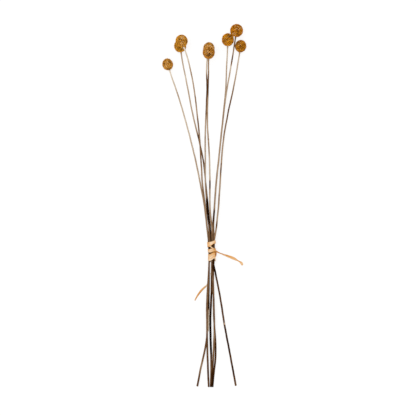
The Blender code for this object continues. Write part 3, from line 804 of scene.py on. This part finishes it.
def make_head(letter):
    """One flower head: closed florets over a core that is dark with painted shade."""
    centre, turn, half = head_place(letter)
    rng = np.random.default_rng(ord(letter))
    places, facing, size, cluster = floret_places(half + FLORET_REACH, rng)
    grid = floret_grid(places, facing, size, rng)
    rings = grid[:, 1:-1]
    florets, rows = rings.shape[:2]
    each = rows * FLORET_CORNERS + 2
    points = np.concatenate((
        rings.reshape(florets, -1, 3), grid[:, :1, 0], grid[:, -1:, 0],
    ), axis=1)
    quads, triangles = tube_faces(rows, FLORET_CORNERS)
    first = (np.arange(florets) * each)[:, None, None]
    quads = (quads + first).reshape(-1, 4)
    triangles = (triangles + first).reshape(-1, 3)

    ways = unit(places) @ turn.T
    family = rng.normal(0, CLUSTER_SPREAD, cluster.max() + 1)[cluster]
    tone = MIDDLE_TONE + family + rng.normal(0, TONE_SPREAD, florets)
    # Pale florets: faded patches, and on heads d and e arcs of painted rim highlight
    faded_and_highlit = turned_florets(ways, FADED_AND_HIGHLIT[letter], FADING_AND_HIGHLIGHT, rng)
    withered = turned_florets(ways, WITHERED[letter], WITHERING, rng)
    profile = np.array(FLORET_PROFILE)
    # Painted shade share of each corner: darkest at the floret's root and throat, none at its rim
    depth = np.concatenate((np.repeat(profile[1:-1, 2], FLORET_CORNERS), profile[[0, -1], 2]))
    fields = {
        "tone": np.repeat(tone, each),
        "faded_and_highlit": np.repeat(faded_and_highlit, each),
        "withered": np.repeat(withered, each),
        "depth": np.tile(depth, florets),
    }
    points = points.reshape(-1, 3)

    core, core_quads, core_triangles = core_globe(half - CORE_DEPTH, len(points))
    points = np.concatenate((points, core)) @ turn.T + centre
    points[:, 2] = np.maximum(points[:, 2], LEAST_HEIGHT)
    quads = np.concatenate((quads, core_quads))
    triangles = np.concatenate((triangles, core_triangles))
    # The core gets share 0, the full painted shade, and is neither faded nor withered
    for field in fields:
        base = CORE_TONE if field == "tone" else 0.0
        fields[field] = np.concatenate((fields[field], np.full(len(core), base)))
    return mesh_from("florets_" + letter, points, quads, triangles, fields)


def core_globe(half, first):
    """A plain globe in latitude rows, whose corners are numbered from `first`."""
    rise = math.pi * (np.arange(CORE_ROWS) + 1) / (CORE_ROWS + 1) - math.pi / 2
    turn = 2 * math.pi * np.arange(CORE_CORNERS) / CORE_CORNERS
    grid = np.stack((
        np.cos(rise)[:, None] * np.cos(turn),
        np.cos(rise)[:, None] * np.sin(turn),
        np.sin(rise)[:, None] + 0 * turn,
    ), axis=-1) * half
    poles = np.array(((0, 0, -half[2]), (0, 0, half[2])))
    quads, triangles = tube_faces(CORE_ROWS, CORE_CORNERS)
    return np.concatenate((grid.reshape(-1, 3), poles)), quads + first, triangles + first


# Stems

def stem_room(letter, along):
    """Least gap between a stem and the others at some places along the bunch."""
    own = smooth_run(STEM_LINES[letter], 1, along)
    room = np.full(len(along), 1.0)
    for other, line in STEM_LINES.items():
        if other != letter:
            theirs = smooth_run(line, 1, np.clip(along, line[0, 1], line[-1, 1]))
            gap = np.linalg.norm((own - theirs)[:, :3], axis=1) - own[:, 3] - theirs[:, 3]
            room = np.minimum(room, gap)
    return room


def stem_course(letter, along, rng):
    """Centres, radii, and the ways forward, to the side and outwards of a stem's rows.

    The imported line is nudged, wavers by up to a quarter of the room round it, and grows in radius
    by up to a fifth of that room. Its ends don't waver.
    """
    run = smooth_run(STEM_LINES[letter], 1, along)
    centre, radius = run[:, :3], run[:, 3]
    length = along - along[0]
    room = stem_room(letter, along) - NEAR_GAP
    loose = np.clip(room / 4, 0.0, MOST_WAVER)
    radius = radius + np.clip(room / 5, 0.0, MOST_SWELL)
    place, across, fuller = np.array(STEM_NUDGES.get(letter, ((0, 0, 0),))).T * MM
    centre = centre + np.interp(along - ZERO[1], place, across)[:, None] * RIGHT
    radius += np.interp(along - ZERO[1], place, fuller)
    ends = np.clip(np.minimum(length, length[-1] - length) / STILL_END, 0.0, 1.0)
    forward = unit(np.gradient(centre, axis=0))
    side = unit(np.cross(forward, UP))
    face = np.cross(side, forward)
    for axis in (side, face):
        centre = centre + axis * (loose * ends * WAVER_GAIN * slow_waves(along, rng))[:, None]
    return centre, radius, forward, side, face


def add_scars(letter, along, turn, reach, tone, pale):
    """Leaf scars: each swells the stem on one side, and is pale there or darkens a ring.

    The swelling is its height times exp(-(u / SCAR_SPREAD)^2 - (v / half its length)^2), where u
    is the turn and v the way along from its middle. The ring has the second term only, narrower.
    """
    for stem, place, degrees, size, height, light in LEAF_SCARS:
        if stem == letter:
            off_turn = (turn - math.radians(degrees) + math.pi) % (2 * math.pi) - math.pi
            off_along = (along - place * MM - ZERO[1])[:, None]
            near = np.exp(-((off_turn / SCAR_SPREAD) ** 2) - (off_along / (size * MM / 2)) ** 2)
            reach += height * MM * near
            if light > 0:
                np.maximum(pale, light * near, out=pale)
            else:
                tone += SCAR_SHADE * light * np.exp(-((off_along / (size * MM / 2.5)) ** 2))


def cut_foot(grid, centre, radius, forward, length, turn):
    """The foot cut slantwise, deepest at turn zero, with rows over its cut face."""
    cut = CUT_DEPTH * radius[0] * (1 + np.cos(turn))
    close = np.clip(1 - length / CUT_LENGTH, 0.0, 1.0)
    grid = grid + forward[:, None] * (close[:, None] * cut)[..., None]
    share, sunk, _ = np.array(CUT_FACE).T[:, :, None, None]
    face = centre[0] + (grid[0] - centre[0]) * share + forward[0] * sunk
    return np.concatenate((face, grid))


def make_stem(letter):
    """One dry stem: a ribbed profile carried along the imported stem's line.

    At turn t the radius is the line's own times RIB_FULLNESS less GROOVE_DEPTH times
    1 - |sin(ribs t / 2)|^RIB_POWER, less slow shrivelling, with the leaf scars added. The foot
    is cut slantwise and shows its pith, and under the flower head the stem swells to a collar.
    """
    rng = np.random.default_rng(STEM_SEED + ord(letter))
    line = STEM_LINES[letter]
    along = np.linspace(line[0, 1], line[-1, 1], STEM_ROWS)
    length = along - along[0]
    centre, radius, forward, side, face = stem_course(letter, along, rng)

    turn = 2 * math.pi * np.arange(STEM_CORNERS) / STEM_CORNERS
    twist = rng.random() * ANY_TURN + TWIST_WANDER * slow_waves(along, rng, 3, 0.08, 0.4)
    groove = 1 - np.abs(np.sin(STEM_RIBS / 2 * (turn + twist[:, None]))) ** RIB_POWER
    slanted = along[:, None] + SHRIVEL_SLANT * np.sin(turn + rng.random() * ANY_TURN)
    shrivel = slow_waves(slanted, rng, 6, 0.004, 0.05)
    reach = radius[:, None] * (RIB_FULLNESS - GROOVE_DEPTH * groove - SHRIVEL * (1 + shrivel))
    below = length[-1] - length - COLLAR_PLACE
    collar = np.exp(-((below / COLLAR_LENGTH) ** 2)) * (below > -COLLAR_TOP)
    reach *= 1 + COLLAR_SWELL * collar[:, None]

    # The stem's tone along it: its own colour, with painted shade in its near-black stretches
    tone_at, tones = np.array(STEM_TONE_AND_SHADE[letter]).T
    tone = np.interp(along, tone_at * MM + ZERO[1], tones)
    tone = tone + TONE_WANDER * slow_waves(along, rng, 7, 0.005, 0.06)
    tone = tone[:, None] - GROOVE_SHADE * groove
    pale = np.zeros_like(tone)
    add_scars(letter, along, turn, reach, tone, pale)

    spoke = np.cos(turn)[:, None] * side[:, None] + np.sin(turn)[:, None] * face[:, None]
    grid = centre[:, None] + spoke * reach[..., None]
    slant = rng.random() * 2 * math.pi
    grid = cut_foot(grid, centre, radius, forward, length, turn - slant)
    face_rows = len(CUT_FACE)
    tone = np.concatenate((np.full((face_rows, STEM_CORNERS), CUT_TONE), tone))
    pale = np.concatenate((np.repeat(np.array(CUT_FACE)[:, 2:], STEM_CORNERS, 1), pale))
    down = np.concatenate((np.zeros(face_rows), length))[:, None] + 0 * turn
    seed = rng.random() * ANY_PLACE
    grain = np.stack((
        np.cos(turn) + 0 * down, np.sin(turn) + 0 * down, down * STEM_GRAIN + seed,
    ), axis=-1)
    return tube("dry_stem_" + letter, grid, {"tone": tone, "pale": pale, "grain": grain})


# Raffia

def strip_profile():
    """Once round the strip's section: place across from -1 to 1, and side from -1 to 1."""
    turn = 2 * math.pi * np.arange(RAFFIA_CORNERS) / RAFFIA_CORNERS
    across = -np.sign(np.cos(turn)) * np.abs(np.cos(turn)) ** SECTION_POWER
    return across, np.sin(turn)


def strip_skin(name, base, outward, width, warmth_and_light, rng):
    """A strip of leaf over a grid of places on its middle layer, and their outward ways.

    Each place moves outwards by half the thickness on one side and inwards on the other, and by
    fine ridges that run along the strip: a sum of cosines of the place across, whose start drifts.
    The crests of the ridges and the strip's edges are browner.
    """
    across, side = strip_profile()
    travel = path_length(*base.mean(axis=1).T)
    ridges = np.zeros(base.shape[:2])
    for count in RIDGE_COUNTS:
        drift = RIDGE_DRIFT * slow_waves(travel, rng, 4, 0.008, 0.06)
        start = rng.random() * ANY_TURN
        ridges += np.cos(math.pi * count * across + drift[:, None] + start) / count
    lift = 0.5 * RAFFIA_THICKNESS * side + RIDGE_HEIGHT * ridges
    grid = base + outward * lift[..., None]
    grain = np.stack((
        across * (width * GRAIN_ACROSS)[:, None],
        side * GRAIN_SIDE + 0 * ridges,
        travel[:, None] * GRAIN_ALONG + 0 * ridges,
    ), axis=-1) + rng.random() * ANY_PLACE
    tone = warmth_and_light[:, None] + RIDGE_TONE * ridges + EDGE_TONE * np.abs(across) ** EDGE_POWER
    return tube(name, grid, {"tone": tone, "grain": grain})


def hull_spots(places, angle, lift):
    """Across and up on the bunch's hull at some places along it and angles round it.

    Each stem's reach is its centre times the outward way plus its radius. The stem that reaches
    furthest holds the strip, and near a tie between two the spot slides along the line from one
    to the other.
    """
    out_x, out_z = np.cos(angle), np.sin(angle)
    stems = np.stack([
        [np.interp(places, line[:, 1], line[:, column]) for column in (0, 2, 3)]
        for line in STEM_LINES.values()
    ])
    reach = stems[:, 0] * out_x + stems[:, 1] * out_z + stems[:, 2]
    share = np.exp((reach - reach.max(axis=0)) / HULL_EASE)
    far = (stems * (share / share.sum(axis=0))[:, None]).sum(axis=0)
    return far[0] + (far[2] + lift) * out_x, far[1] + (far[2] + lift) * out_z


def path_length(*columns):
    """Length travelled along a path at each of its points."""
    steps = np.sqrt(sum(np.diff(column) ** 2 for column in columns))
    return np.concatenate(([0.0], np.cumsum(steps)))


def winding_course():
    """The strip's path: angle in half turns, way travelled, half turns gone and place along.

    The path over the stems' hull depends on the place along, and the place on the path, so both
    are worked out in a few rounds. A way up or down a side counts little, and the climb of each
    half turn is eased by gone - sin(2 pi gone) / (2 pi), so the strip climbs mostly where it
    crosses the top and the underside.
    """
    count = np.arange(len(RAFFIA_LAYERS) + 1)
    turned = np.linspace(0.0, len(RAFFIA_LAYERS), PATH_STEPS)
    along = np.full(PATH_STEPS, TIE_MIDDLE)
    for _ in range(PATH_ROUNDS):
        over, up = hull_spots(along + ZERO[1], -math.pi * turned, 0.0)
        around = path_length(over, SIDE_PACE * up)
        gone = np.interp(around, np.interp(count, turned, around), count)
        eased = gone - np.sin(2 * math.pi * gone) / (2 * math.pi)
        along = np.interp(eased, count, RAFFIA_STARTS)
    kept = gone <= RAFFIA_END
    return turned[kept], around[kept], gone[kept], along[kept]


def spaced_evenly(base, outward, width, warmth_and_light):
    """The strip's rows worked out again, one for each RAFFIA_STEP along its middle."""
    rows = len(base)
    travel = path_length(*base.mean(axis=1).T)
    steps = np.linspace(0.0, travel[-1], int(travel[-1] / RAFFIA_STEP))
    table = np.column_stack((base.reshape(rows, -1), outward.reshape(rows, -1), width, warmth_and_light))
    even = np.stack([np.interp(steps, travel, column) for column in table.T], axis=1)
    size = 3 * RAFFIA_CORNERS
    base = even[:, :size].reshape(-1, RAFFIA_CORNERS, 3)
    outward = even[:, size:2 * size].reshape(-1, RAFFIA_CORNERS, 3)
    return base, outward, even[:, -2], even[:, -1]


def make_winding():
    """The strip's turns round the bunch.

    The strip lies on the stems' hull, is straight between them and stands off a little at the
    sides. Each column of the grid looks at the stems at its own place along the bunch. Its line
    and its two edges wander by fractions of a millimetre.
    """
    rng = np.random.default_rng(WINDING_SEED)
    across, _ = strip_profile()
    turned, around, gone, along = winding_course()
    along += LINE_WANDER * slow_waves(around, rng, 5, 0.005, 0.04)
    near_edge = slow_waves(around, rng, 6, 0.003, 0.03)[:, None]
    far_edge = slow_waves(around, rng, 6, 0.003, 0.03)[:, None]
    edge = EDGE_WANDER * np.where(across < 0, near_edge, far_edge)
    width = np.interp(gone, *np.array(RAFFIA_WIDTHS).T)
    # Warmth along the turns: own colour, with painted highlight on the tops and painted shade at
    # the sides
    warmth_and_light = np.interp(gone, *np.array(RAFFIA_WARMTH_AND_LIGHT).T)
    places = along[:, None] + across * (width[:, None] / 2 + edge) + ZERO[1]

    angle = -math.pi * turned[:, None]
    layer = np.interp(gone, np.arange(len(RAFFIA_LAYERS)) + 0.5, RAFFIA_LAYERS)
    slack = np.interp(gone, np.arange(len(RAFFIA_SLACK)), RAFFIA_SLACK)[:, None]
    lift = (RAFFIA_LIFT + RAFFIA_LAYER * layer)[:, None]
    lift = lift + slack * np.abs(np.cos(angle)) ** SLACK_FALL
    spot_x, spot_z = hull_spots(places, angle, lift)
    base = np.stack((spot_x, places, spot_z), axis=-1)
    flat = 0 * places
    outward = np.stack((np.cos(angle) + flat, flat, np.sin(angle) + flat), axis=-1)
    base, outward, width, warmth_and_light = spaced_evenly(base, outward, width, warmth_and_light)
    return strip_skin("raffia_turns", base, outward, width, warmth_and_light, rng)


def make_free_end(name, points, width, seed):
    """A free end of the strip along listed points.

    Its section is an arc of half angle C: across (W / 2) sin(C p) / C and outwards
    (W / 2) (cos(C p) - 1) / C for p from -1 to 1, turned on the strip's own line.
    """
    rng = np.random.default_rng(seed)
    rows = np.array(points)
    rows[:, :3] = rows[:, :3] * MM + ZERO
    reach = path_length(*rows[:, :3].T)
    steps = np.linspace(0.0, reach[-1], int(reach[-1] / RAFFIA_STEP))
    run = smooth_run(np.column_stack((rows, reach)), 6, steps)
    forward = unit(np.gradient(run[:, :3], axis=0))
    side = unit(np.cross(forward, UP))
    face = np.cross(side, forward)
    turn = run[:, 4:5]
    side, face = (
        side * np.cos(turn) + face * np.sin(turn),
        face * np.cos(turn) - side * np.sin(turn),
    )
    across, _ = strip_profile()
    curl = np.maximum(run[:, 3:4], LEAST_CURL)
    bent = curl * across
    taper = 1 - TIP_TAPER * np.clip(1 - (steps[-1] - steps) / TIP_LENGTH, 0, 1) ** 2
    uneven = 1 + WIDTH_WANDER * slow_waves(steps, rng, 5, 0.006, 0.05)
    half = (width * MM / 2 * taper * uneven)[:, None]
    over, out = half * np.sin(bent) / curl, half * (np.cos(bent) - 1) / curl
    base = run[:, None, :3] + side[:, None] * over[..., None] + face[:, None] * out[..., None]
    outward = face[:, None] * np.cos(bent)[..., None] + side[:, None] * np.sin(bent)[..., None]
    return strip_skin(name, base, outward, 2 * half[:, 0], run[:, 5], rng)


def make_knot():
    """The knot: the strip wound a little over one and a half times round a small oval.

    At turn t its middle line is at x cos t, y sin t + creep and z sin t from the knot's middle,
    with x, y and z the half sizes, and it is warmer on the right.
    """
    turn = np.linspace(0.0, 2 * KNOT_TURNS * math.pi, KNOT_POINTS)
    creep = KNOT_CREEP * (turn / turn[-1] - 0.5)
    rows = np.column_stack((
        KNOT_PLACE[0] + KNOT_REACH[0] * np.cos(turn),
        KNOT_PLACE[1] + KNOT_REACH[1] * np.sin(turn) + creep,
        KNOT_PLACE[2] + KNOT_REACH[2] * np.sin(turn),
        np.full(KNOT_POINTS, KNOT_CURL),
        np.zeros(KNOT_POINTS),
        0.55 + 0.2 * np.cos(turn),
    ))
    return make_free_end("raffia_knot", rows, KNOT_WIDTH, KNOT_SEED)


# Stage

def make_stage():
    """A pale floor, soft light from above and all round, and the camera straight over the bunch."""
    bpy.ops.mesh.primitive_plane_add(size=FLOOR_WIDTH, location=(0, 0, -FLOOR_DEPTH))
    floor = bpy.context.object
    floor.name = "pale_floor"
    finish, _, shader = dry_finish("pale_paper", 0.9)
    shader.inputs["Base Color"].default_value = (FLOOR_GREY, FLOOR_GREY, FLOOR_GREY, 1.0)
    shader.inputs["Emission Color"].default_value = WHITE
    shader.inputs["Emission Strength"].default_value = FLOOR_GLOW
    floor.data.materials.append(finish)

    world = bpy.data.worlds.new("pale_room")
    world.use_nodes = True
    backdrop = world.node_tree.nodes["Background"]
    backdrop.inputs["Color"].default_value = WHITE
    backdrop.inputs["Strength"].default_value = 1.0
    bpy.context.scene.world = world

    lamp = bpy.data.lights.new("soft_box", "AREA")
    lamp.shape = "DISK"
    lamp.size = LAMP_WIDTH
    lamp.energy = LAMP_POWER
    box = bpy.data.objects.new("soft_box", lamp)
    box.location = LAMP_PLACE
    box.rotation_euler = Vector(box.location).to_track_quat("Z", "Y").to_euler()
    box.visible_camera = False
    bpy.context.scene.collection.objects.link(box)

    view = bpy.data.cameras.new("camera")
    view.sensor_width = SENSOR_WIDTH
    view.lens = SENSOR_WIDTH * (CAMERA_HEIGHT - VIEW_PLANE) / VIEW_WIDTH
    view.clip_end = 50.0
    camera = bpy.data.objects.new("camera", view)
    camera.location = (*VIEW_CENTRE, CAMERA_HEIGHT)
    bpy.context.scene.collection.objects.link(camera)
    bpy.context.scene.camera = camera
    bpy.context.scene.view_settings.view_transform = "Standard"


make_stage()
for letter in HEADS:
    settle(make_head(letter), floret_finish(letter), "flower_head_" + letter)
    settle(make_stem(letter), stem_finish(letter), "stem_" + letter)

leaf_strip = raffia_finish()
settle(make_winding(), leaf_strip, "raffia_tie")
for number, (end, (points, width)) in enumerate(FREE_ENDS.items()):
    strip = make_free_end("raffia_" + end, points, width, FREE_END_SEED + number)
    settle(strip, leaf_strip, "raffia_tie")
settle(make_knot(), leaf_strip, "raffia_tie")
